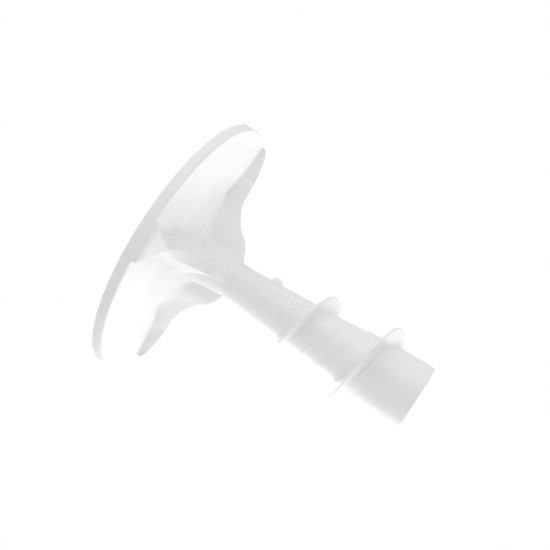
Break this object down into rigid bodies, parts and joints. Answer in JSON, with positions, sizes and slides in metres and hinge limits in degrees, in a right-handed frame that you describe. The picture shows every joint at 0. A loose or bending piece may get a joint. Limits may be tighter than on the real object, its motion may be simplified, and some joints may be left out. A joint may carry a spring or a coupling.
{
  "type": "disc-head wall anchor",
  "caption": "Plastic wall anchor: a round pressure plate with gussets on a flared sleeve with a left-hand helical flight, drawn tight by a screw and a cone nut.",
  "frame": {"origin": "centre of the pressure plate's outer face, on the sleeve's axis", "axes": "+Z along the sleeve from the plate towards the open tip; one gusset lies along -Y"},
  "size_m": [0.06, 0.06, 0.0614],
  "materials": {
    "white_plastic": "satin moulded white",
    "washer_steel": "bright zinc plate",
    "screw_steel": "bright zinc plate",
    "nut_steel": "bright zinc plate"
  },
  "bodies": {
    "anchor": {"face_plate": "white_plastic", "hub_core": "white_plastic", "gusset_1": "white_plastic", "gusset_2": "white_plastic", "gusset_3": "white_plastic", "sleeve_tube": "white_plastic", "main_flight": "white_plastic", "grip_ridges": "white_plastic", "head_washer": "washer_steel"},
    "screw": {"clamp_screw": "screw_steel"},
    "nut": {"cone_nut": "nut_steel"}
  },
  "joints": [
    {"name": "screw_turn", "type": "hinge", "parent": "anchor", "child": "screw", "pos_m": [0, 0, 0], "axis": [0, 0, 1], "range_deg": [0, 1350]},
    {"name": "nut_draw", "type": "slide", "parent": "anchor", "child": "nut", "axis": [0, 0, -1], "range_m": [0, 0.003]}
  ],
  "couplings": [
    {"joint": "screw_turn", "follows": "nut_draw", "rad_per_m": 7854}
  ]
}
